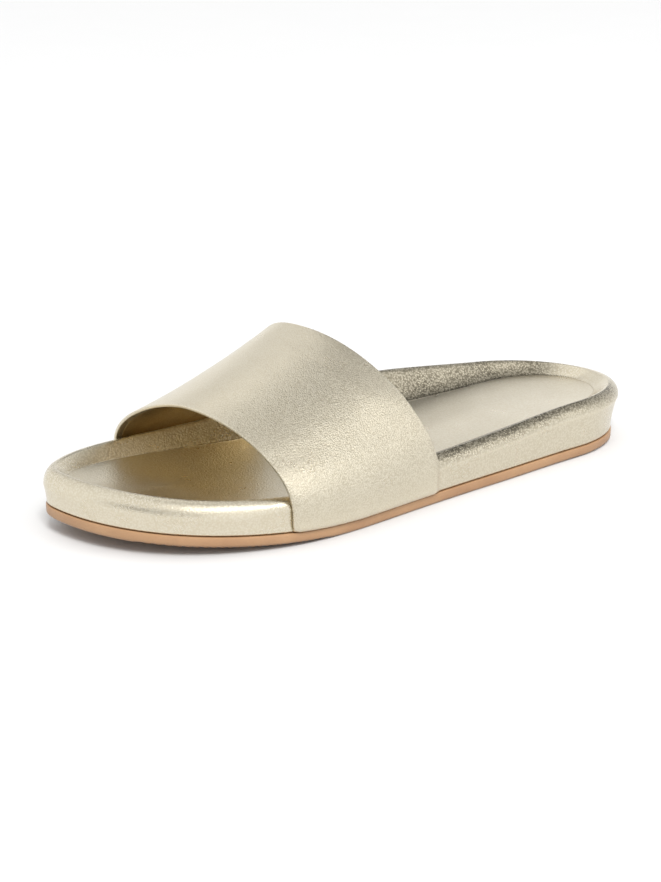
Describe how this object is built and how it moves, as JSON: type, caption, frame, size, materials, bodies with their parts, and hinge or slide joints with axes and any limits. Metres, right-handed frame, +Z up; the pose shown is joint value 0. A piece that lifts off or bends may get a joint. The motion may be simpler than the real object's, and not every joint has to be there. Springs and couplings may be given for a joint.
{
  "type": "slide sandal",
  "caption": "Left slide sandal: a broad leather strap arches over a moulded footbed with a rounded rim, on a thin flat outsole with a raised toe.",
  "frame": {"origin": "on the ground, under the middle of the sandal's bounding box", "axes": "+X along the foot towards the heel, with the toe at -X; +Y towards the inner (medial) side of this left shoe; +Z up"},
  "size_m": [0.2542, 0.0964, 0.0631],
  "materials": {
    "outsole": "matt tan rubber with a smooth cut edge",
    "footbed": "pale metallic gold leather, fine pebble grain, glossy",
    "insole": "pale metallic gold leather, satin",
    "strap": "pale metallic gold leather, fine pebble grain, glossy"
  },
  "bodies": {
    "root": {"outsole": "outsole", "footbed": "footbed", "insole": "insole", "strap": "strap"}
  },
  "joints": []
}
